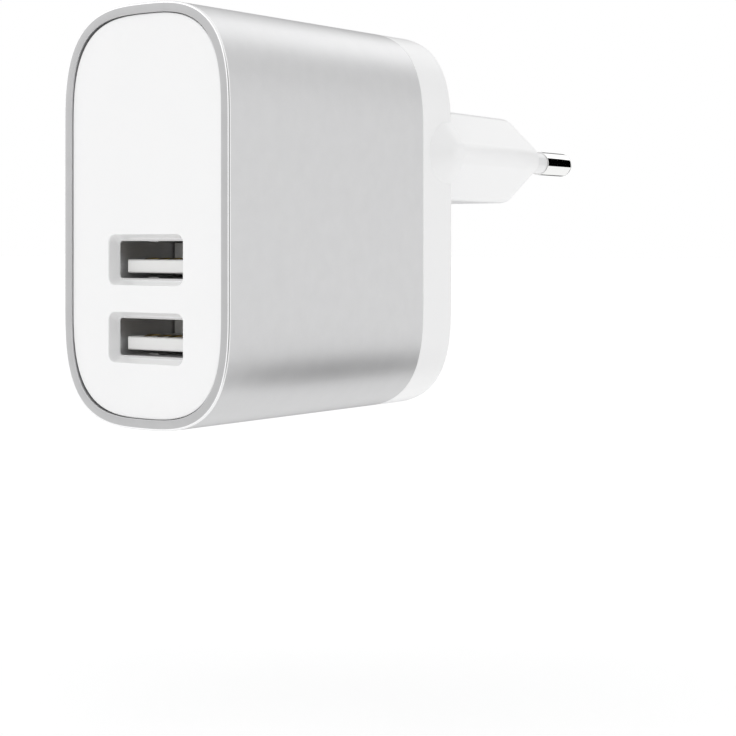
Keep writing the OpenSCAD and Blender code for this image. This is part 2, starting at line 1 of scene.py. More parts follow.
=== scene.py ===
import json
import math
import bmesh
import bpy
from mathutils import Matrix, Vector


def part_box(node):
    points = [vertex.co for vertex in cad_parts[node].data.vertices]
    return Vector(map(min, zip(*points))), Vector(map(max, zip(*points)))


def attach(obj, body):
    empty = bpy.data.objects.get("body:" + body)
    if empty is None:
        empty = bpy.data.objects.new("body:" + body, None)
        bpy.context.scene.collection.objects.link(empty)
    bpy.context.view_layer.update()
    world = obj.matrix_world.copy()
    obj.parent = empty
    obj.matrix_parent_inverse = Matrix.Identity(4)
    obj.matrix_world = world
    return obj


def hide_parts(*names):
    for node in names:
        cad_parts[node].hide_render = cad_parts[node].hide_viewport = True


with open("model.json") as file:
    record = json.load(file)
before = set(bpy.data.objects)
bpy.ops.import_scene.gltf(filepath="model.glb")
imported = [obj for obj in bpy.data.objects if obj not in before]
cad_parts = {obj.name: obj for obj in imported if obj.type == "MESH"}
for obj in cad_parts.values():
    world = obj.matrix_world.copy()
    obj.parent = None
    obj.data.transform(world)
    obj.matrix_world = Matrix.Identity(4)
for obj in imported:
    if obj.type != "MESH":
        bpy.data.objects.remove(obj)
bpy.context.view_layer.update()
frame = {"nodes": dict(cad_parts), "record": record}

# ---------- sleeve ----------
# The sleeve is an extruded aluminium tube, bead-blasted and then anodised silver. Its front
# edge is cut at a slant after that, so bare bright metal shows there.

mm = 0.001
mounts = {m["name"]: m for m in frame["record"]["mounts"]}
sleeve_low, sleeve_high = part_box("sleeve")
front_y = sleeve_low.y
seam_y = sleeve_high.y
body_w = sleeve_high.x - sleeve_low.x
body_h = sleeve_high.z - sleeve_low.z
body_z = (sleeve_high.z + sleeve_low.z) / 2
round_h = 16.9 * mm         # height of each rounded end of the outline
straight = body_h / 2 - round_h
corner_profile = 0.63       # a superellipse of power 3
sleeve_wall = 1.45 * mm
cut_edge = 0.3 * mm
inner_edge = 0.08 * mm
rear_edge = 0.1 * mm
weld = 0.001 * mm           # points closer than this are one
near = 0.01 * mm            # how far from a plane counts as on it


def take(piece):
    """Selects one piece alone and makes it the active one."""
    for other in bpy.context.selected_objects:
        other.select_set(False)
    piece.select_set(True)
    bpy.context.view_layer.objects.active = piece


def edit(piece):
    """Opens one piece for editing, with nothing in it selected."""
    take(piece)
    bpy.ops.object.mode_set(mode="EDIT")
    bpy.ops.mesh.select_all(action="DESELECT")


def pick(kind, test):
    """Selects the vertices, edges or faces whose middle, and normal for a face, pass the test."""
    bpy.ops.mesh.select_mode(type=kind)
    bpy.ops.mesh.select_all(action="DESELECT")
    piece = bpy.context.edit_object
    mesh = bmesh.from_edit_mesh(piece.data)
    if kind == "VERT":
        found = [v for v in mesh.verts if test(v.co)]
    elif kind == "EDGE":
        found = [e for e in mesh.edges if test((e.verts[0].co + e.verts[1].co) / 2)]
    else:
        found = [f for f in mesh.faces if test(f.calc_center_median(), f.normal)]
    for element in found:
        element.select_set(True)
    mesh.select_flush_mode()
    bmesh.update_edit_mesh(piece.data)


def done(piece):
    """Closes the piece and puts its place into its mesh."""
    bpy.ops.object.mode_set(mode="OBJECT")
    bpy.ops.object.transform_apply(location=True, rotation=True, scale=True)
    return piece


def block(name, x, z, w, h, y0, y1):
    """A box with its middle at x and z, from y0 to y1, as a start for a piece."""
    bpy.ops.mesh.primitive_cube_add(size=1, location=(x, (y0 + y1) / 2, z), scale=(w, y1 - y0, h))
    piece = bpy.context.object
    piece.name = name
    edit(piece)
    return done(piece)


def body_block(name, inset, y0, y1, segments=28):
    """A solid of the body's outline, moved in by inset, from y0 to y1."""
    w = body_w - 2 * inset
    piece = block(name, 0, body_z, w, w + 2 * straight, y0, y1)
    edit(piece)
    pick("EDGE", lambda p: abs(p.x) > 0.4 * w and abs(p.z - body_z) > straight)
    bpy.ops.mesh.bevel(
        offset=w / 2, segments=segments, profile=corner_profile, clamp_overlap=False)
    bpy.ops.mesh.select_all(action="SELECT")
    bpy.ops.mesh.remove_doubles(threshold=weld)
    for end in (-1, 1):
        pick("VERT", lambda p: end * (p.z - body_z) > straight + weld)
        bpy.ops.transform.resize(
            value=(1, 1, (round_h - inset) / (w / 2)),
            center_override=(0, 0, body_z + end * straight))
    return done(piece)


def depth_in_body(p):
    """Roughly how far a point is inside the body's outline."""
    x = abs(p.x) / (body_w / 2)
    z = max(abs(p.z - body_z) - straight, 0) / round_h
    return (1 - (x ** 3 + z ** 3) ** (1 / 3)) * body_w / 2


def modify(piece, kind, **settings):
    """Adds a modifier to the piece and applies it."""
    take(piece)
    modifier = piece.modifiers.new(kind.lower(), kind)
    for key, value in settings.items():
        setattr(modifier, key, value)
    bpy.ops.object.modifier_apply(modifier=modifier.name)


def smooth(piece, angle=35):
    """Smooths the shading across edges under that many degrees."""
    take(piece)
    bpy.ops.object.shade_smooth_by_angle(angle=math.radians(angle))


def add(tree, kind, inputs=None, **settings):
    """Adds a shader node. Each input is a value, or the socket that feeds it."""
    node = tree.nodes.new("ShaderNode" + kind)
    for key, value in settings.items():
        setattr(node, key, value)
    for key, value in (inputs or {}).items():
        if isinstance(value, bpy.types.NodeSocket):
            tree.links.new(value, node.inputs[key])
        else:
            node.inputs[key].default_value = value
    return node


def effect(name, **extra):
    """A new effect group. It takes a place, a colour and a roughness, and gives back a
    colour, a roughness and a height. Extra inputs are numbers."""
    group = bpy.data.node_groups.new(name, "ShaderNodeTree")
    sockets = group.interface
    sockets.new_socket("Place", in_out="INPUT", socket_type="NodeSocketVector")
    sockets.new_socket("Color", in_out="INPUT", socket_type="NodeSocketColor")
    sockets.new_socket("Roughness", in_out="INPUT", socket_type="NodeSocketFloat")
    for key, value in extra.items():
        socket = sockets.new_socket(key, in_out="INPUT", socket_type="NodeSocketFloat")
        socket.default_value = value
    sockets.new_socket("Color", in_out="OUTPUT", socket_type="NodeSocketColor")
    sockets.new_socket("Roughness", in_out="OUTPUT", socket_type="NodeSocketFloat")
    sockets.new_socket("Height", in_out="OUTPUT", socket_type="NodeSocketFloat")
    start = group.nodes.new("NodeGroupInput")
    end = group.nodes.new("NodeGroupOutput")
    return group, start.outputs, end.inputs


def shaded(group, color, amount):
    """A colour made lighter and darker by an amount that lies about 1."""
    return add(group, "Mix", {6: color, 7: amount, 0: 1.0}, data_type="RGBA",
               blend_type="MULTIPLY").outputs[2]


def times(group, a, b):
    """Multiplies two numbers."""
    return add(group, "Math", {0: a, 1: b}, operation="MULTIPLY").outputs[0]


def repeats(group, size):
    """How often a pattern of that size, in millimetres, repeats in a metre."""
    return add(group, "Math", {0: 1 / mm, 1: size}, operation="DIVIDE").outputs[0]


def noise(group, place, scale, detail):
    """A cloudy pattern of 0 to 1."""
    return add(group, "TexNoise", {"Vector": place, "Scale": scale, "Detail": detail}).outputs[0]


def about_one(group, pattern, strength):
    """Turns a pattern of 0 to 1 into a number near 1, by more where the strength is more."""
    centred = add(group, "Math", {0: pattern, 1: 0.5}, operation="SUBTRACT").outputs[0]
    return add(group, "Math", {0: centred, 1: strength, 2: 1.0},
               operation="MULTIPLY_ADD").outputs[0]


def give_back(group, result, color, roughness, height):
    """Connects what an effect group gives back."""
    group.links.new(color, result["Color"])
    group.links.new(roughness, result["Roughness"])
    group.links.new(height, result["Height"])


def coated(name, group, color, roughness, relief, values=None, **shader_values):
    """A material whose colour, roughness and relief vary as an effect group says."""
    material = bpy.data.materials.new(name)
    material.use_nodes = True
    tree = material.node_tree
    shader = tree.nodes["Principled BSDF"]
    surface = tree.nodes.new("ShaderNodeGroup")
    surface.node_tree = group
    tree.links.new(add(tree, "TexCoord").outputs["Object"], surface.inputs["Place"])
    surface.inputs["Color"].default_value = (*color, 1)
    surface.inputs["Roughness"].default_value = roughness
    for key, value in (values or {}).items():
        surface.inputs[key].default_value = value
    bump = add(tree, "Bump", {"Height": surface.outputs["Height"], "Distance": relief})
    tree.links.new(surface.outputs["Color"], shader.inputs["Base Color"])
    tree.links.new(surface.outputs["Roughness"], shader.inputs["Roughness"])
    tree.links.new(bump.outputs["Normal"], shader.inputs["Normal"])
    for key, value in shader_values.items():
        shader.inputs[key.replace("_", " ")].default_value = value
    material.diffuse_color = (*color, 1)
    return material


# Blasting leaves a fine even grain, and handling and anodising leave faint wider patches.
blasted, given, result = effect("blasted", Grain=0.12, Patch=2.5, Patchiness=0.1)
grain = noise(blasted, given["Place"], repeats(blasted, given["Grain"]), 3.0)
patch = noise(blasted, given["Place"], repeats(blasted, given["Patch"]), 4.0)
patches = about_one(blasted, patch, given["Patchiness"])
specks = about_one(blasted, grain, given["Patchiness"])
give_back(blasted, result, shaded(blasted, given["Color"], times(blasted, patches, specks)),
          times(blasted, given["Roughness"], patches), grain)

anodised = coated("anodised_aluminium", blasted, (0.68, 0.68, 0.685), 0.36, 0.005 * mm,
                  {"Patchiness": 0.08}, Metallic=1.0)
bright_cut = coated("bright_cut", blasted, (0.93, 0.93, 0.935), 0.2, 0.001 * mm,
                    {"Patchiness": 0.05}, Metallic=1.0)

sleeve = body_block("metal_sleeve", 0, front_y, seam_y)
edit(sleeve)
pick("FACE", lambda p, n: abs(n.y) > 0.9)
bpy.ops.mesh.delete(type="ONLY_FACE")
done(sleeve)
modify(sleeve, "SOLIDIFY", thickness=sleeve_wall, offset=-1, use_even_offset=True)
sleeve.data.materials.append(anodised)
sleeve.data.materials.append(bright_cut)
edit(sleeve)
pick("EDGE", lambda p: p.y < front_y + near and depth_in_body(p) < sleeve_wall / 3)
bpy.ops.mesh.bevel(offset=cut_edge, segments=3, profile=0.5, material=1)
pick("EDGE", lambda p: p.y < front_y + near and depth_in_body(p) > 2 / 3 * sleeve_wall)
bpy.ops.mesh.bevel(offset=inner_edge, segments=2, profile=0.5)
pick("EDGE", lambda p: p.y > seam_y - near)
bpy.ops.mesh.bevel(offset=rear_edge, segments=2, profile=0.5, material=1)
done(sleeve)
smooth(sleeve)
modify(sleeve, "WEIGHTED_NORMAL", keep_sharp=True)
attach(sleeve, "root")
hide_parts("sleeve")

# ---------- front cover ----------
# The front cover is a white moulded plate, pressed into the sleeve until its two hooks snap.
# Each port opens at the bottom of a shallow funnel, and a skirt behind stiffens the plate.

cover_low, cover_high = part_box("front_cover")
face_y = cover_low.y
cover_inset = (body_w - cover_high.x + cover_low.x) / 2
face_t = 2.4 * mm
plate_y = face_y + face_t
skirt_end_y = cover_high.y
skirt_inset = 2.95 * mm
skirt_wall = 1 * mm
face_edge = 0.15 * mm
port_places = [Vector(mounts[name]["pos_m"]) for name in ("usb_port_upper", "usb_port_lower")]
mouth_y = port_places[0].y
shell_low, shell_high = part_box("upper_port_shell")
shell_w = shell_high.x - shell_low.x
shell_h = shell_high.z - shell_low.z
shell_slack = 0.04 * mm     # between a shell and its hole, over both sides
pocket_w = 13.9 * mm
pocket_h = 7.1 * mm
pocket_r = 1.1 * mm
pocket_fillet = 0.3 * mm
pocket_lip = 0.1 * mm       # how far the funnel's bottom covers the shell, over both sides
slot_slack = 0.4 * mm       # round the main board, where the skirt is open for it
snap_w = 6 * mm
snap_h = 0.5 * mm
snap_l = 1.2 * mm


def resize_face(w0, h0, w1, h1, z):
    """Resizes the selected outline from w0 by h0 to w1 by h1, about a middle at z."""
    bpy.ops.transform.resize(value=(w1 / w0, 1, h1 / h0), center_override=(0, 0, z))


def extrude(y=0.0, x=0.0, z=0.0):
    """Extrudes the selected faces, or edges, by that much."""
    bpy.ops.mesh.extrude_region_move(TRANSFORM_OT_translate={"value": (x, y, z)})


def cut_away(piece, cutter, operation="DIFFERENCE"):
    """Cuts one piece with another, or joins them, and removes the second."""
    modify(piece, "BOOLEAN", object=cutter, operation=operation, solver="EXACT")
    bpy.data.objects.remove(cutter)


def port_funnel(place):
    """The space in front of a port's shell. It widens towards the face and rolls over there."""
    w = pocket_w - pocket_fillet
    h = pocket_h - pocket_fillet
    y = face_y + pocket_fillet
    funnel = block("port_funnel", 0, place.z, w, h, y, mouth_y)
    edit(funnel)
    pick("EDGE", lambda p: abs(p.x) > 0.4 * w and abs(p.z - place.z) > 0.4 * h)
    bpy.ops.mesh.bevel(offset=pocket_r, segments=6, profile=0.5)
    pick("FACE", lambda p, n: n.y > 0.9)
    resize_face(w, h, shell_w - pocket_lip, shell_h - pocket_lip, place.z)
    pick("FACE", lambda p, n: n.y < -0.9)
    steps = []
    for i in range(1, 7):
        a = math.radians(15 * i)
        roll = pocket_fillet * (1 - math.cos(a))
        steps.append((face_y + pocket_fillet * (1 - math.sin(a)), w + roll, h + roll))
    steps.append((face_y - face_t, w + pocket_fillet, h + pocket_fillet))
    for next_y, next_w, next_h in steps:
        extrude(y=next_y - y)
        resize_face(w, h, next_w, next_h, place.z)
        y, w, h = next_y, next_w, next_h
    return done(funnel)


def port_hole(place):
    """The hole in the plate that a port's shell stands in."""
    w = shell_w + shell_slack
    h = shell_h + shell_slack
    hole = block("port_hole", 0, place.z, w, h, mouth_y - near, plate_y + face_t)
    edit(hole)
    pick("EDGE", lambda p: abs(p.x) > 0.4 * w and abs(p.z - place.z) > 0.4 * h)
    bpy.ops.mesh.bevel(offset=pocket_r / 2, segments=5, profile=0.5)
    return done(hole)


# A moulding has a fine grain from its tool, and faint patches in its colour and gloss.
moulded, given, result = effect("moulded", Grain=0.2, Patch=9.0, Patchiness=0.02)
grain = noise(moulded, given["Place"], repeats(moulded, given["Grain"]), 2.0)
patch = noise(moulded, given["Place"], repeats(moulded, given["Patch"]), 3.0)
patches = about_one(moulded, patch, given["Patchiness"])
rubbed = about_one(moulded, patch, times(moulded, given["Patchiness"], 12.0))
give_back(moulded, result, shaded(moulded, given["Color"], patches),
          times(moulded, given["Roughness"], rubbed), grain)

white_cover = coated("white_cover_plastic", moulded, (0.9, 0.9, 0.902), 0.32, 0.002 * mm)

front_cover = body_block("front_cover_plate", cover_inset, face_y, plate_y)
edit(front_cover)
pick("EDGE", lambda p: p.y < face_y + near)
bpy.ops.mesh.bevel(offset=face_edge, segments=3, profile=0.5)
pick("FACE", lambda p, n: n.y > 0.9)
bpy.ops.mesh.inset(thickness=skirt_inset - cover_inset)
extrude(y=skirt_end_y - plate_y)
bpy.ops.mesh.inset(thickness=skirt_wall)
extrude(y=plate_y - skirt_end_y)
done(front_cover)
for place in port_places:
    cut_away(front_cover, port_funnel(place))
    cut_away(front_cover, port_hole(place))
board_low, board_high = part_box("main_board")
board_slot = block(
    "board_slot", (board_low.x + board_high.x) / 2, body_z,
    board_high.x - board_low.x + slot_slack, body_h, board_low.y - slot_slack / 4,
    skirt_end_y + mm)
cut_away(front_cover, board_slot)
for side in (-1, 1):
    hook_y = (plate_y + skirt_end_y) / 2
    hook = block("front_snap_hook", 0, body_z + side * (body_h / 2 - skirt_inset), snap_w,
                 2 * snap_h, hook_y - snap_l / 2, hook_y + snap_l / 2)
    edit(hook)
    pick("EDGE", lambda p: p.y > hook_y and side * (p.z - body_z) > body_h / 2 - skirt_inset)
    bpy.ops.mesh.bevel(offset=snap_h * 0.8, segments=1)
    done(hook)
    cut_away(front_cover, hook, "UNION")
front_cover.data.materials.clear()
front_cover.data.materials.append(white_cover)
smooth(front_cover)
modify(front_cover, "WEIGHTED_NORMAL", keep_sharp=True)
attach(front_cover, "root")
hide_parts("front_cover")

# ---------- rear cover and plug ----------
# The rear cover and the flat plug are one hollow white moulding. The plug is wider than the
# body, so half a cone on each side carries it into the cover's wall.

back_y = mounts["body_back"]["pos_m"][1]
cover_edge = 0.9 * mm
seam_edge = 0.12 * mm
cover_back_t = 2 * mm
rear_low, rear_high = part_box("rear_cover")
plug_end_y = rear_high.y
plug_w = rear_high.x - rear_low.x
plug_tip_w = 30.8 * mm
plug_t = 14.2 * mm
plug_edge_t = 2.2 * mm
plug_slant_w = 6.3 * mm
plug_wall = 1.8 * mm
plug_end_t = 4 * mm
plug_round = 1 * mm
gusset_r = 4.7 * mm
gusset_y = 1.8 * mm
gusset_root = 1 * mm        # how far it goes into the cover's wall
gusset_round = 0.6 * mm
gusset_edge = 0.5 * mm
hollow_overlap = 0.05 * mm
spigot_l = 4.1 * mm
housing_inset = 2.85 * mm


def slice_off(place, out):
    """Cuts the open piece along a plane, removes what is beyond it, and closes the cut."""
    bpy.ops.mesh.select_all(action="SELECT")
    bpy.ops.mesh.bisect(plane_co=place, plane_no=out, use_fill=True, clear_outer=True,
                        threshold=weld)


def plug_block(name, inset, y0, y1, rounding=0.0):
    """The plug inside those walls: a tapered block with a narrow flat and two slanted sides
    along each edge."""
    piece = block(name, 0, 0, plug_w - 2 * inset, plug_t - 2 * inset, y0, y1)
    slope = (plug_w - plug_tip_w) / 2 / (y1 - y0)
    edit(piece)
    for side in (-1, 1):
        for up in (-1, 1):
            # The cut runs through the flat's edge at both ends of the plug.
            corner = Vector((side * (plug_w / 2 - inset), y0, up * plug_edge_t / 2))
            along = Vector((-side * slope, 1, 0))
            across = Vector((-side * (plug_slant_w - inset / 2), 0,
                             up * (plug_t / 2 - inset - plug_edge_t / 2)))
            out = along.cross(across).normalized()
            if out.x * side < 0:
                out = -out
            slice_off(corner, out)
        slice_off((side * (plug_w / 2 - inset), y0, 0), (side, slope, 0))
    bpy.ops.mesh.select_all(action="SELECT")
    bpy.ops.mesh.remove_doubles(threshold=near)
    bpy.ops.mesh.normals_make_consistent(inside=False)
    if rounding:
        pick("EDGE", lambda p: p.y > y0 + near)
        bpy.ops.mesh.bevel(offset=rounding, segments=5, profile=0.5)
    return done(piece)


def plug_gusset(side):
    """Half a cone from the body's wall to the plug's edge, and its wedge up to the back."""
    reach = (plug_w - body_w) / 2
    flat_r = plug_edge_t / 2
    root_r = gusset_r + (gusset_r - flat_r) * gusset_root / reach
    bpy.ops.mesh.primitive_cone_add(
        vertices=96, radius1=root_r, radius2=flat_r, depth=reach + gusset_root,
        location=(side * (body_w / 2 + (reach - gusset_root) / 2), back_y - gusset_y, 0),
        rotation=(0, side * math.pi / 2, 0))
    piece = bpy.context.object
    piece.name = "plug_gusset"
    edit(piece)
    done(piece)
    edit(piece)
    pick("EDGE", lambda p: abs(p.x) > plug_w / 2 - near)
    bpy.ops.mesh.bevel(offset=gusset_round, segments=4, profile=0.5)
    slice_off((0, back_y - gusset_y, 0), (0, 1, 0))
    pick("FACE", lambda p, n: n.y > 0.9)
    extrude(y=gusset_y)
    pick("EDGE", lambda p: p.y > back_y - near)
    bpy.ops.mesh.bevel(offset=gusset_edge, segments=4, profile=0.5)
    return done(piece)


rear_cover = body_block("rear_cover_moulding", 0, seam_y, back_y)
edit(rear_cover)
pick("EDGE", lambda p: p.y > back_y - near)
bpy.ops.mesh.bevel(offset=cover_edge, segments=5, profile=0.5)
pick("EDGE", lambda p: p.y < seam_y + near)
bpy.ops.mesh.bevel(offset=seam_edge, segments=2, profile=0.5)
done(rear_cover)
for part in (plug_block("plug_outside", 0, back_y - cover_back_t, plug_end_y, plug_round),
             plug_gusset(-1), plug_gusset(1)):
    cut_away(rear_cover, part, "UNION")
for hollow in (body_block("spigot_room", cover_inset, seam_y - mm, seam_y + spigot_l),
               body_block("cover_room", housing_inset, seam_y, back_y - cover_back_t),
               plug_block("plug_room", plug_wall, back_y - cover_back_t - hollow_overlap,
                          plug_end_y - plug_end_t)):
    cut_away(rear_cover, hollow)


def on_pin(piece, name):
    """Puts a piece made along Z on the axis of the pin of that name, and fixes it there."""
    axis = Vector(mounts[name]["axis"])
    place = Vector(mounts[name]["pos_m"])
    piece.rotation_mode = "QUATERNION"
    piece.rotation_quaternion = Vector((0, 0, 1)).rotation_difference(axis)
    piece.location = place - axis * (place.y / axis.y)
    edit(piece)
    return done(piece)


collar_r = 1.825 * mm
collar_slip = 0.04 * mm
for name in ("pin_left", "pin_right"):
    bpy.ops.mesh.primitive_cylinder_add(
        vertices=64, radius=collar_r + collar_slip, depth=4 * plug_end_t)
    cut_away(rear_cover, on_pin(bpy.context.object, name))
rear_cover.data.materials.clear()
rear_cover.data.materials.append(white_cover)
smooth(rear_cover, 30)
modify(rear_cover, "WEIGHTED_NORMAL", keep_sharp=True)
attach(rear_cover, "root")
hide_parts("rear_cover")

# ---------- plug pins and collars ----------
# Each pin is turned brass, plated bright. It is thin inside its insulating collar and full
# size at its bare end, and a flange holds it behind the plug's end wall.

pin_r = 2 * mm
pin_core_r = 1.5 * mm
pin_l = 19.3 * mm
pin_round = 1.2 * mm
pin_edge = 0.06 * mm
collar_l = 10 * mm
flange_r = 2.9 * mm
flange_t = 2 * mm
flange_slip = 0.1 * mm
flange_end = plug_end_t + flange_slip + flange_t
pin_tail_r = 1.25 * mm
pin_tail_l = 7 * mm
pin_end = flange_end + pin_tail_l
collar_edge = 0.09 * mm

# Turning leaves fine rings along a pin, which the plating softens.
turned, given, result = effect("turned", Pitch=0.15, Ringing=0.06)
squashed = add(turned, "Mapping", {"Vector": given["Place"], "Scale": (0.06, 1.0, 0.06)})
rings = noise(turned, squashed.outputs[0], repeats(turned, given["Pitch"]), 2.0)
ringed = about_one(turned, rings, given["Ringing"])
smeared = about_one(turned, noise(turned, given["Place"], 0.3 / mm, 3.0), 0.5)
give_back(turned, result, shaded(turned, given["Color"], ringed),
          times(turned, given["Roughness"], smeared), rings)

bright_plate = coated("bright_plated_brass", turned, (0.9, 0.9, 0.89), 0.045, 0.0003 * mm,
                      Metallic=1.0)
white_collar = coated("white_collar_plastic", moulded, (0.84, 0.84, 0.842), 0.3, 0.002 * mm)

for name, node, collar_node in (("pin_left", "plug_pin_left", "pin_collar_left"),
                                ("pin_right", "plug_pin_right", "pin_collar_right")):
    bpy.ops.mesh.primitive_cylinder_add(
        vertices=96, radius=pin_r, depth=pin_l - collar_l, location=(0, 0, (pin_l + collar_l) / 2))
    pin = bpy.context.object
    pin.name = "turned_" + name
    edit(pin)
    done(pin)
    edit(pin)
    pick("EDGE", lambda p: p.z > pin_l - near)
    bpy.ops.mesh.bevel(offset=pin_round, segments=10, profile=0.5)
    pick("EDGE", lambda p: p.z < collar_l + near)
    bpy.ops.mesh.bevel(offset=pin_edge, segments=2, profile=0.5)
    pick("FACE", lambda p, n: n.z < -0.9)
    # Down from the bare end: the core, the flange, then the tail for the brass strip.
    r = pin_r - pin_edge
    z = collar_l
    for next_r, next_z in ((pin_core_r, flange_t - flange_end), (flange_r, -flange_end),
                           (pin_tail_r, -pin_end)):
        extrude()
        bpy.ops.transform.resize(value=(next_r / r, next_r / r, 1), center_override=(0, 0, z))
        extrude(z=next_z - z)
        r = next_r
        z = next_z
    done(pin)
    pin.data.materials.append(bright_plate)
    smooth(pin)
    modify(pin, "WEIGHTED_NORMAL", keep_sharp=True)
    on_pin(pin, name)
    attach(pin, "root")
    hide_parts(node)

    bpy.ops.mesh.primitive_cylinder_add(
        vertices=96, radius=collar_r, depth=plug_end_t + collar_l - collar_slip,
        end_fill_type="NOTHING", location=(0, 0, (collar_l - collar_slip - plug_end_t) / 2))
    collar = bpy.context.object
    collar.name = "insulating_collar_" + name[4:]
    modify(collar, "SOLIDIFY", thickness=collar_r - pin_core_r - collar_slip, offset=-1)
    edit(collar)
    pick("EDGE", lambda p: abs(abs(p.z) - (plug_end_t + collar_l - collar_slip) / 2) < near)
    bpy.ops.mesh.bevel(offset=collar_edge, segments=3, profile=0.5)
    done(collar)
    collar.data.materials.append(white_collar)
    smooth(collar)
    modify(collar, "WEIGHTED_NORMAL", keep_sharp=True)
    on_pin(collar, name)
    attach(collar, "root")
    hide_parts(collar_node)

# ---------- USB port shells ----------
# Each shell is a folded box of plated steel. A slot round each of four tabs lets it spring
# against a plug's sides.

shell_t = 0.3 * mm
shell_r = 0.4 * mm
shell_l = shell_high.y - shell_low.y
tab_x = 3.2 * mm
tab_w = 1.8 * mm
tab_l = 5.6 * mm
tab_slot = 0.4 * mm
slot_h = 2 * mm             # of the shape that cuts the slots
tab_y = mouth_y + 3 * mm
tab_bend = 0.12 * mm

# Rolled sheet has fine lines along its length, and soft cloudy patches.
rolled, given, result = effect("rolled", Pitch=0.08, Lines=0.2)
stretched = add(rolled, "Mapping", {"Vector": given["Place"], "Scale": (1.0, 0.04, 1.0)})
lines = noise(rolled, stretched.outputs[0], repeats(rolled, given["Pitch"]), 2.0)
lined = about_one(rolled, lines, given["Lines"])
clouded = about_one(rolled, noise(rolled, given["Place"], 0.4 / mm, 3.0), 0.3)
give_back(rolled, result, shaded(rolled, given["Color"], lined),
          times(rolled, given["Roughness"], clouded), lines)

shell_steel = coated("plated_steel", rolled, (0.93, 0.93, 0.93), 0.25, 0.001 * mm, Metallic=1.0)
# The inside faces of each shell get a darker, rougher copy of the same plated steel. Its darker
# colour is painted shade for the port's dark inside.
painted_shade_steel = coated("steel_inside_painted_shade", rolled, (0.66, 0.66, 0.665), 0.5, 0.001 * mm, Metallic=1.0)

for place, node in zip(port_places, ("upper_port_shell", "lower_port_shell")):
    shell = block(node.replace("shell", "box"), 0, place.z, shell_w, shell_h, mouth_y,
                  mouth_y + shell_l)
    edit(shell)
    pick("EDGE", lambda p: abs(p.x) > 0.4 * shell_w and abs(p.z - place.z) > 0.4 * shell_h)
    bpy.ops.mesh.bevel(offset=shell_r + shell_t, segments=6, profile=0.5)
    pick("FACE", lambda p, n: abs(n.y) > 0.9)
    bpy.ops.mesh.delete(type="ONLY_FACE")
    done(shell)
    modify(shell, "SOLIDIFY", thickness=shell_t, offset=-1, use_even_offset=True)
    for x in (-tab_x, tab_x):
        for side in (-1, 1):
            z = place.z + side * shell_h / 2
            slot = block("tab_slot", x, z, tab_w + 2 * tab_slot, slot_h, tab_y,
                         tab_y + tab_slot + tab_l)
            cut_away(slot, block("tab", x, z, tab_w, slot_h + mm, tab_y + tab_slot,
                                 tab_y + tab_l + mm))
            cut_away(shell, slot)
    edit(shell)
    for side in (-1, 1):
        pick("VERT", lambda p: abs(p.y - tab_y - tab_slot) < near
             and abs(abs(p.x) - tab_x) < tab_w / 2 + near and side * (p.z - place.z) > 0)
        bpy.ops.transform.translate(value=(0, 0, -side * tab_bend))
    done(shell)
    shell.data.materials.clear()
    shell.data.materials.append(shell_steel)
    shell.data.materials.append(painted_shade_steel)
    # The faces inside the shell take the darker copy of the steel, which is painted shade.
    edit(shell)
    pick("FACE", lambda p, n: abs(p.x) < shell_w / 2 - 0.9 * shell_t
         and abs(p.z - place.z) < shell_h / 2 - 0.9 * shell_t and abs(n.y) < 0.7)
    shell.active_material_index = 1
    bpy.ops.object.material_slot_assign()
    done(shell)
    smooth(shell)
    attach(shell, "root")
    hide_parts(node)

# ---------- USB insulators ----------
# Each insulator is white glass-filled plastic: a block that closes the shell's back end, and
# a tongue with a groove for each contact.

insulator_low, insulator_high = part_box("upper_port_insulator")
base_w = insulator_high.x - insulator_low.x
base_h = insulator_high.z - insulator_low.z
tongue_w = 11.1 * mm
tongue_t = 1.84 * mm
tongue_top = 0.02 * mm
tongue_tip_y = insulator_low.y
base_l = 3.25 * mm
base_edge = 0.2 * mm
port_base_y = insulator_high.y - base_l
tongue_round = 0.3 * mm     # of its tip
tongue_edge = 0.12 * mm
tongue_land = 0.7 * mm
groove_w = 1.3 * mm
groove_d = 1.15 * mm
contact_x = [-3.5 * mm, -mm, mm, 3.5 * mm]

tongue_white = coated("white_port_plastic", moulded, (0.8, 0.8, 0.79), 0.45, 0.003 * mm,
                      {"Patchiness": 0.05})

for place, node in zip(port_places, ("upper_port_insulator", "lower_port_insulator")):
    insulator = block(node.replace("insulator", "block"), 0, place.z, base_w, base_h, port_base_y,
                      insulator_high.y)
    edit(insulator)
    bpy.ops.mesh.select_all(action="SELECT")
    bpy.ops.mesh.bevel(offset=base_edge, segments=2, profile=0.5)
    done(insulator)
    tongue_z = place.z + tongue_top - tongue_t / 2
    tongue = block("tongue", 0, tongue_z, tongue_w, tongue_t, tongue_tip_y, port_base_y + mm)
    edit(tongue)
    pick("EDGE", lambda p: p.y < tongue_tip_y + near)
    bpy.ops.mesh.bevel(offset=tongue_round, segments=3, profile=0.5)
    pick("EDGE", lambda p: abs(p.x) > tongue_w / 2 - near
         and abs(p.z - tongue_z) > 0.4 * tongue_t)
    bpy.ops.mesh.bevel(offset=tongue_edge, segments=2, profile=0.5)
    done(tongue)
    cut_away(insulator, tongue, "UNION")
    for x in contact_x:
        cut_away(insulator, block("groove", x, place.z + tongue_top, groove_w, 2 * groove_d,
                                  tongue_tip_y + tongue_land, port_base_y))
    insulator.data.materials.clear()
    insulator.data.materials.append(tongue_white)
    smooth(insulator)
    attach(insulator, "root")
    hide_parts(node)

# ---------- USB contacts ----------
# Each contact is a leaf of gold-plated phosphor bronze. It springs about its root, and its
# crest stands above the tongue. Its fixed end runs back through the insulator.

contact_w = mm
contact_t = 0.25 * mm
# Along the leaf from its root, and up, as shares of its length and of its crest's height.
leaf_line = [(0.2, 0.14), (0.45, 0.32), (0.68, 0.86), (0.74, 0.97), (0.79, 1.0),
             (0.84, 0.94), (0.89, 0.76), (1.0, 0.12)]
sheet_share = 0.9           # of the CAD leaf's thickness, which its bends leave free
leaf_edge = 0.04 * mm

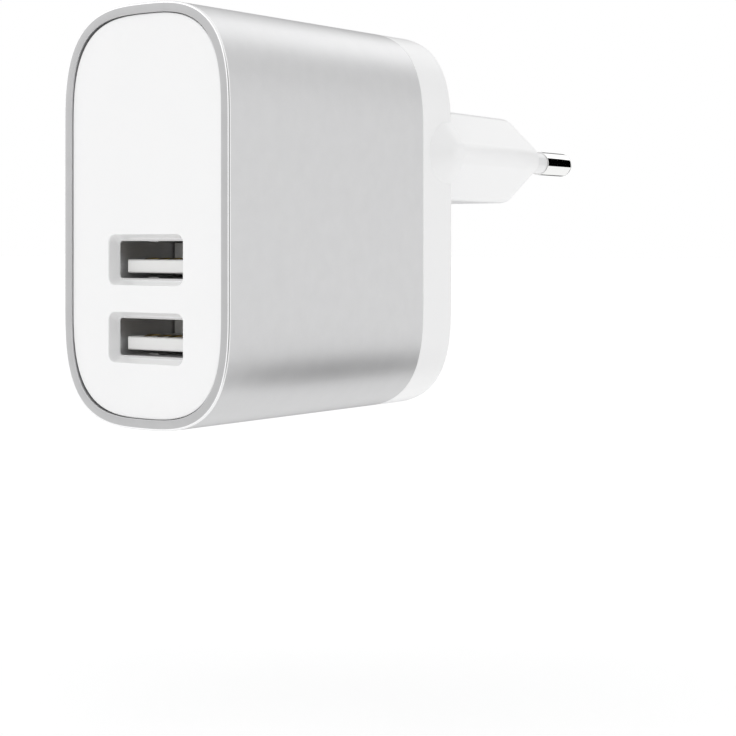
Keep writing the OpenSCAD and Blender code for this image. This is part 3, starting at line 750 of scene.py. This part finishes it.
contact_gold = coated("contact_gold", rolled, (0.83, 0.6, 0.25), 0.2, 0.0008 * mm, Metallic=1.0)

for port in ("upper", "lower"):
    for i in range(1, 5):
        node = f"{port}_contact_{i}"
        leaf_low, leaf_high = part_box(node)
        leaf_l = leaf_high.y - leaf_low.y
        rise = leaf_high.z - leaf_low.z - contact_t
        root_z = leaf_low.z + contact_t / 2
        along, up = leaf_line[0]
        bpy.ops.mesh.primitive_plane_add(size=1, location=(
            (leaf_low.x + leaf_high.x) / 2, leaf_high.y - along * leaf_l / 2, root_z))
        leaf = bpy.context.object
        leaf.name = f"{port}_leaf_{i}"
        leaf.scale = (contact_w, along * leaf_l, 1)
        edit(leaf)
        done(leaf)
        edit(leaf)
        y = leaf_high.y - along * leaf_l
        z = root_z + up * rise
        pick("VERT", lambda p: p.y < y + near)
        bpy.ops.transform.translate(value=(0, 0, up * rise))
        for along, up in leaf_line[1:]:
            pick("EDGE", lambda p: abs(p.y - y) < near and abs(p.z - z) < near)
            next_y = leaf_high.y - along * leaf_l
            next_z = root_z + up * rise
            extrude(y=next_y - y, z=next_z - z)
            y = next_y
            z = next_z
        done(leaf)
        modify(leaf, "SOLIDIFY", thickness=contact_t * sheet_share, offset=0)
        modify(leaf, "BEVEL", width=leaf_edge, segments=2, limit_method="ANGLE", angle_limit=1.0)
        leaf.data.materials.append(contact_gold)
        smooth(leaf, 50)
        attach(leaf, node)
        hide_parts(node)

# ---------- inner housing and pin clamp ----------
# A tube of flame-retardant plastic keeps the circuit away from the metal sleeve. The clamp is
# a plate of the same plastic, glued into the plug behind the pins' flanges.

housing_plastic = coated("housing_plastic", moulded, (0.62, 0.62, 0.6), 0.5, 0.006 * mm,
                         {"Grain": 0.35, "Patchiness": 0.06})


def finish_as(material, *names):
    """Gives CAD nodes their finish."""
    for name in names:
        node = frame["nodes"][name]
        node.data.materials.clear()
        node.data.materials.append(material)


finish_as(housing_plastic, "inner_housing", "pin_clamp")

# ---------- strips from the pins ----------
# Two bent brass strips, soldered to the pins' tails, carry the mains to the main board.

brass = coated("brass_strip", rolled, (0.78, 0.55, 0.25), 0.3, 0.0015 * mm, Metallic=1.0)
finish_as(brass, "pin_lead_left", "pin_lead_right")

# ---------- circuit boards ----------
# Both boards are woven glass and resin with copper tracks under a green varnish. The main
# board stands on edge in the housing's ribs, and the other stands behind the ports.

# The varnish is paler over the copper, whose tracks run square to each other.
varnished, given, result = effect("varnished_tracks", Track=1.6, Weave=0.25)
tracks = add(varnished, "TexVoronoi",
             {"Vector": given["Place"], "Scale": repeats(varnished, given["Track"]),
              "Randomness": 0.7}, distance="CHEBYCHEV", feature="F1")
copper = add(varnished, "MapRange", {"Value": tracks.outputs["Distance"], "From Min": 0.3,
                                     "From Max": 0.34}).outputs[0]
weave = noise(varnished, given["Place"], repeats(varnished, given["Weave"]), 1.0)
paler = add(varnished, "Math", {0: copper, 1: 0.45, 2: 0.8}, operation="MULTIPLY_ADD").outputs[0]
woven = times(varnished, paler, about_one(varnished, weave, 0.25))
give_back(varnished, result, shaded(varnished, given["Color"], woven), given["Roughness"], copper)

green_board = coated("varnished_board", varnished, (0.025, 0.22, 0.09), 0.3, 0.03 * mm)
finish_as(green_board, "main_board", "usb_board")

# ---------- solder ----------
# Tin solder fills the holes on the main board's back, and bridges the two boards.

solder = coated("solder", blasted, (0.72, 0.72, 0.7), 0.25, 0.01 * mm,
                {"Grain": 0.3, "Patch": 0.8, "Patchiness": 0.25}, Metallic=1.0)
finish_as(solder, "solder_joints", "board_header")

# ---------- port tails ----------
# The contacts' fixed ends run back through the insulator and are soldered to the board.

finish_as(contact_gold, "upper_port_tails", "lower_port_tails")

# ---------- transformer ----------
# Two pressed ferrite halves close round a black bobbin, whose winding is wrapped in tape.

# Pressed and sintered powder is speckled, with small chips and pits.
sintered, given, result = effect("sintered", Speck=0.25, Contrast=0.5)
specks = add(sintered, "TexVoronoi",
             {"Vector": given["Place"], "Scale": repeats(sintered, given["Speck"])})
pits = noise(sintered, given["Place"], 0.9 / mm, 6.0)
speckled = about_one(sintered, specks.outputs["Distance"], given["Contrast"])
pitted = about_one(sintered, pits, given["Contrast"])
give_back(sintered, result, shaded(sintered, given["Color"], times(sintered, speckled, pitted)),
          times(sintered, given["Roughness"], pitted), pits)

# Turns of wire or tape lie side by side, round the part that carries them.
wound, given, result = effect("wound", Pitch=0.45, Depth=0.35)
wave_share = 2 * math.pi / 20      # of a wave texture's scale, in each of its repeats
turns = add(wound, "TexWave",
            {"Vector": given["Place"], "Distortion": 0.3, "Detail": 1.0,
             "Scale": times(wound, repeats(wound, given["Pitch"]), wave_share)},
            wave_type="BANDS", bands_direction="X").outputs[1]
deep = about_one(wound, turns, given["Depth"])
toned = about_one(wound, noise(wound, given["Place"], 0.6 / mm, 2.0), 0.3)
give_back(wound, result, shaded(wound, given["Color"], times(wound, deep, toned)),
          times(wound, given["Roughness"], toned), turns)

ferrite = coated("ferrite", sintered, (0.045, 0.045, 0.05), 0.55, 0.02 * mm)
bobbin_black = coated("bobbin_plastic", moulded, (0.02, 0.02, 0.022), 0.45, 0.006 * mm,
                      {"Grain": 0.3, "Patchiness": 0.2})
winding_tape = coated("winding_tape", wound, (0.82, 0.6, 0.1), 0.35, 0.02 * mm,
                      {"Pitch": 2.2, "Depth": 0.12})
finish_as(ferrite, "transformer_core")
finish_as(bobbin_black, "transformer_bobbin")
finish_as(winding_tape, "transformer_winding")

# ---------- can capacitors ----------
# Rolled-foil capacitors in drawn aluminium cans. The two large ones wear a dark sleeve, and
# the two small ones are bare.

dark_sleeve = coated("capacitor_sleeve", moulded, (0.015, 0.02, 0.06), 0.28, 0.004 * mm,
                     {"Grain": 0.8, "Patchiness": 0.15})
bare_can = coated("capacitor_can", rolled, (0.72, 0.72, 0.73), 0.28, 0.001 * mm, Metallic=1.0)
finish_as(dark_sleeve, "bulk_capacitors")
finish_as(bare_can, "output_capacitors")

# ---------- mains choke ----------
# A ferrite ring on edge, with enamelled copper wire wound round each side.

enamelled_copper = coated("enamelled_copper", wound, (0.5, 0.16, 0.05), 0.25, 0.08 * mm,
                          {"Pitch": 0.7, "Depth": 0.5}, Metallic=0.8)
finish_as(ferrite, "choke_core")
finish_as(enamelled_copper, "choke_winding")

# ---------- chips and transistors ----------
# Silicon in moulded black epoxy, with tinned legs, on both faces of the main board.

chip_epoxy = coated("chip_epoxy", sintered, (0.03, 0.03, 0.032), 0.55, 0.006 * mm,
                    {"Speck": 0.12, "Contrast": 0.25})
finish_as(chip_epoxy, "bridge_rectifier", "switch_transistor", "output_rectifier",
          "power_controller", "usb_controller")
opto_white = coated("optocoupler_epoxy", sintered, (0.75, 0.75, 0.72), 0.5, 0.006 * mm,
                    {"Speck": 0.12, "Contrast": 0.06})
finish_as(opto_white, "optocoupler")
chip_ceramic = coated("chip_ceramic", sintered, (0.5, 0.36, 0.22), 0.45, 0.004 * mm,
                      {"Speck": 0.1, "Contrast": 0.3})
finish_as(chip_ceramic, "chip_parts")

# ---------- heatsinks ----------
# Two plates of rolled aluminium, which the flat packages lean on.

sink_aluminium = coated("rolled_aluminium", rolled, (0.7, 0.7, 0.71), 0.35, 0.002 * mm,
                        {"Pitch": 0.12, "Lines": 0.3}, Metallic=1.0)
finish_as(sink_aluminium, "primary_heatsink", "secondary_heatsink")

# ---------- dipped and boxed parts ----------
# The fuse is a brown moulded can, the film capacitor a yellow box, and the two discs are
# ceramic, dipped in coloured resin.

fuse_brown = coated("fuse_brown", moulded, (0.16, 0.05, 0.025), 0.4, 0.006 * mm,
                    {"Grain": 0.3, "Patchiness": 0.12})
film_yellow = coated("film_capacitor_yellow", moulded, (0.75, 0.5, 0.06), 0.38, 0.006 * mm,
                     {"Grain": 0.25, "Patchiness": 0.08})
disc_blue = coated("disc_blue", sintered, (0.03, 0.16, 0.5), 0.25, 0.01 * mm,
                   {"Speck": 0.8, "Contrast": 0.12}, Coat_Weight=0.4)
disc_green = coated("disc_green", sintered, (0.04, 0.2, 0.08), 0.25, 0.01 * mm,
                    {"Speck": 0.8, "Contrast": 0.12}, Coat_Weight=0.4)
finish_as(fuse_brown, "fuse")
finish_as(film_yellow, "x_capacitor")
finish_as(disc_blue, "y_capacitor")
finish_as(disc_green, "thermistor")

# ---------- insulating film ----------
# A flat piece of stiff polyester film stands between the tall parts and the housing.

clear_film = coated("polyester_film", rolled, (0.8, 0.78, 0.6), 0.2, 0.002 * mm,
                    {"Pitch": 0.5, "Lines": 0.06})
finish_as(clear_film, "insulation_sheet")

# ---------- studio ----------
# A pale floor, soft light from all round, and the camera in front and to the right.

camera_data = bpy.data.cameras.new("camera")
camera = bpy.data.objects.new("camera", camera_data)
bpy.context.scene.collection.objects.link(camera)
bpy.context.scene.camera = camera
camera.location = (161.79 * mm, front_y - 170.09 * mm, body_z - 3.6 * mm)
camera.rotation_euler = (math.radians(90), 0, math.radians(36.143))
camera_data.sensor_width = 36
camera_data.lens = 84.33
camera_data.shift_y = -0.170
camera_data.clip_start = 0.01

floor_drop = 40 * mm
bpy.ops.mesh.primitive_plane_add(size=12, location=(0, 0, body_z - body_h / 2 - floor_drop))
floor = bpy.context.object
floor.name = "studio_floor"
edit(floor)
done(floor)
floor_paint = bpy.data.materials.new("floor_paint")
floor_paint.use_nodes = True
floor_shader = floor_paint.node_tree.nodes["Principled BSDF"]
floor_shader.inputs["Base Color"].default_value = (0.95, 0.95, 0.95, 1)
floor_shader.inputs["Roughness"].default_value = 0.9
floor_shader.inputs["Specular IOR Level"].default_value = 0
floor_shader.inputs["Emission Color"].default_value = (1, 1, 1, 1)
floor_shader.inputs["Emission Strength"].default_value = 0.12
floor.data.materials.append(floor_paint)
floor.visible_glossy = False


def reflected_card(name, x, z, w, h, y0, y1, shade, turn=0.0):
    """A card that shows only in reflections, turned about a line along Y through its middle."""
    card = block(name, 0, 0, w, h, y0, y1)
    card.location = (x, 0, z)
    card.rotation_euler = (0, turn, 0)
    edit(card)
    done(card)
    paint = bpy.data.materials.new(name + "_paint")
    paint.use_nodes = True
    shader = paint.node_tree.nodes["Principled BSDF"]
    shader.inputs["Base Color"].default_value = (shade, shade, shade, 1)
    shader.inputs["Specular IOR Level"].default_value = 0
    card.data.materials.append(paint)
    card.visible_camera = False
    card.visible_diffuse = False
    card.visible_shadow = False


# Black cards beside and behind the pins give their plating dark bands to reflect, and a grey
# card low on the right shades the sleeve's lower corner.
card_t = mm
reflected_card("black_card", 22 * mm, 7.5 * mm, card_t, 25 * mm, 18 * mm, 56 * mm, 0.0)
reflected_card("far_black_card", -17 * mm, -10 * mm, 60 * mm, 23 * mm, 80 * mm,
               80 * mm + card_t, 0.0)
reflected_card("grey_card", 40 * mm, -55 * mm, card_t, 20 * mm, -40 * mm, 25 * mm, 0.42,
               math.radians(42))

world = bpy.data.worlds.new("studio_light")
bpy.context.scene.world = world
world.use_nodes = True
sky = world.node_tree
sky.nodes.clear()
look = add(sky, "TexCoord").outputs["Generated"]
direction = add(sky, "SeparateXYZ", {0: look})


def ramp(value, stops):
    """A smooth run of brightness over a value of 0 to 1."""
    node = add(sky, "ValToRGB", {0: value})
    while len(node.color_ramp.elements) > 1:
        node.color_ramp.elements.remove(node.color_ramp.elements[-1])
    for i, (at, level) in enumerate(stops):
        element = node.color_ramp.elements[0] if i == 0 else node.color_ramp.elements.new(at)
        element.position = at
        element.color = (level, level, level, 1)
    node.color_ramp.interpolation = "B_SPLINE"
    return node.outputs["Color"]


def part_of_room(light, direction, level, width):
    """Brings the light from one direction to another level, over so many degrees about it."""
    closeness = add(sky, "VectorMath", {0: look, 1: Vector(direction).normalized()},
                    operation="DOT_PRODUCT").outputs["Value"]
    share = add(sky, "MapRange",
                {"Value": closeness, "From Min": math.cos(math.radians(width)),
                 "From Max": math.cos(math.radians(width / 4))},
                interpolation_type="SMOOTHSTEP").outputs[0]
    return add(sky, "Mix", {0: share, 6: light, 7: (level, level, level, 1)},
               data_type="RGBA").outputs[2]


up = add(sky, "Math", {0: direction.outputs["Z"], 1: 0.5, 2: 0.5},
         operation="MULTIPLY_ADD").outputs[0]
back = add(sky, "MapRange",
           {"Value": direction.outputs["Y"], "From Min": -0.2, "From Max": 0.6}).outputs[0]
behind = ramp(up, [(0.0, 1.0), (0.45, 1.04), (0.6, 1.08), (1.0, 0.8)])
before = ramp(up, [(0.0, 1.0), (0.5, 1.12), (1.0, 0.85)])
light = add(sky, "Mix", {0: back, 6: before, 7: behind}, data_type="RGBA").outputs[2]
# A bright panel high behind, with a dimmer wall on its right and a dark corner on its left.
light = part_of_room(light, (0.02, 0.81, 0.57), 1.45, 22)
light = part_of_room(light, (0.47, 0.8, 0.37), 0.75, 17)
light = part_of_room(light, (-0.57, 0.82, 0.05), 0.05, 30)
# A wide bright wall in front on the left, dimmer in its middle, and a dark one on the right.
light = part_of_room(light, (-0.6, -0.75, 0.25), 1.42, 65)
light = part_of_room(light, (-0.59, -0.81, 0), 0.62, 30)
light = part_of_room(light, (0.86, -0.5, 0), 0.32, 44)
shown = add(sky, "LightPath").outputs["Is Camera Ray"]
final = add(sky, "Mix", {0: shown, 6: light, 7: (1, 1, 1, 1)}, data_type="RGBA").outputs[2]
background = add(sky, "Background", {"Color": final, "Strength": 1.0})
add(sky, "OutputWorld", {"Surface": background.outputs[0]})
bpy.context.scene.view_settings.view_transform = "Standard"
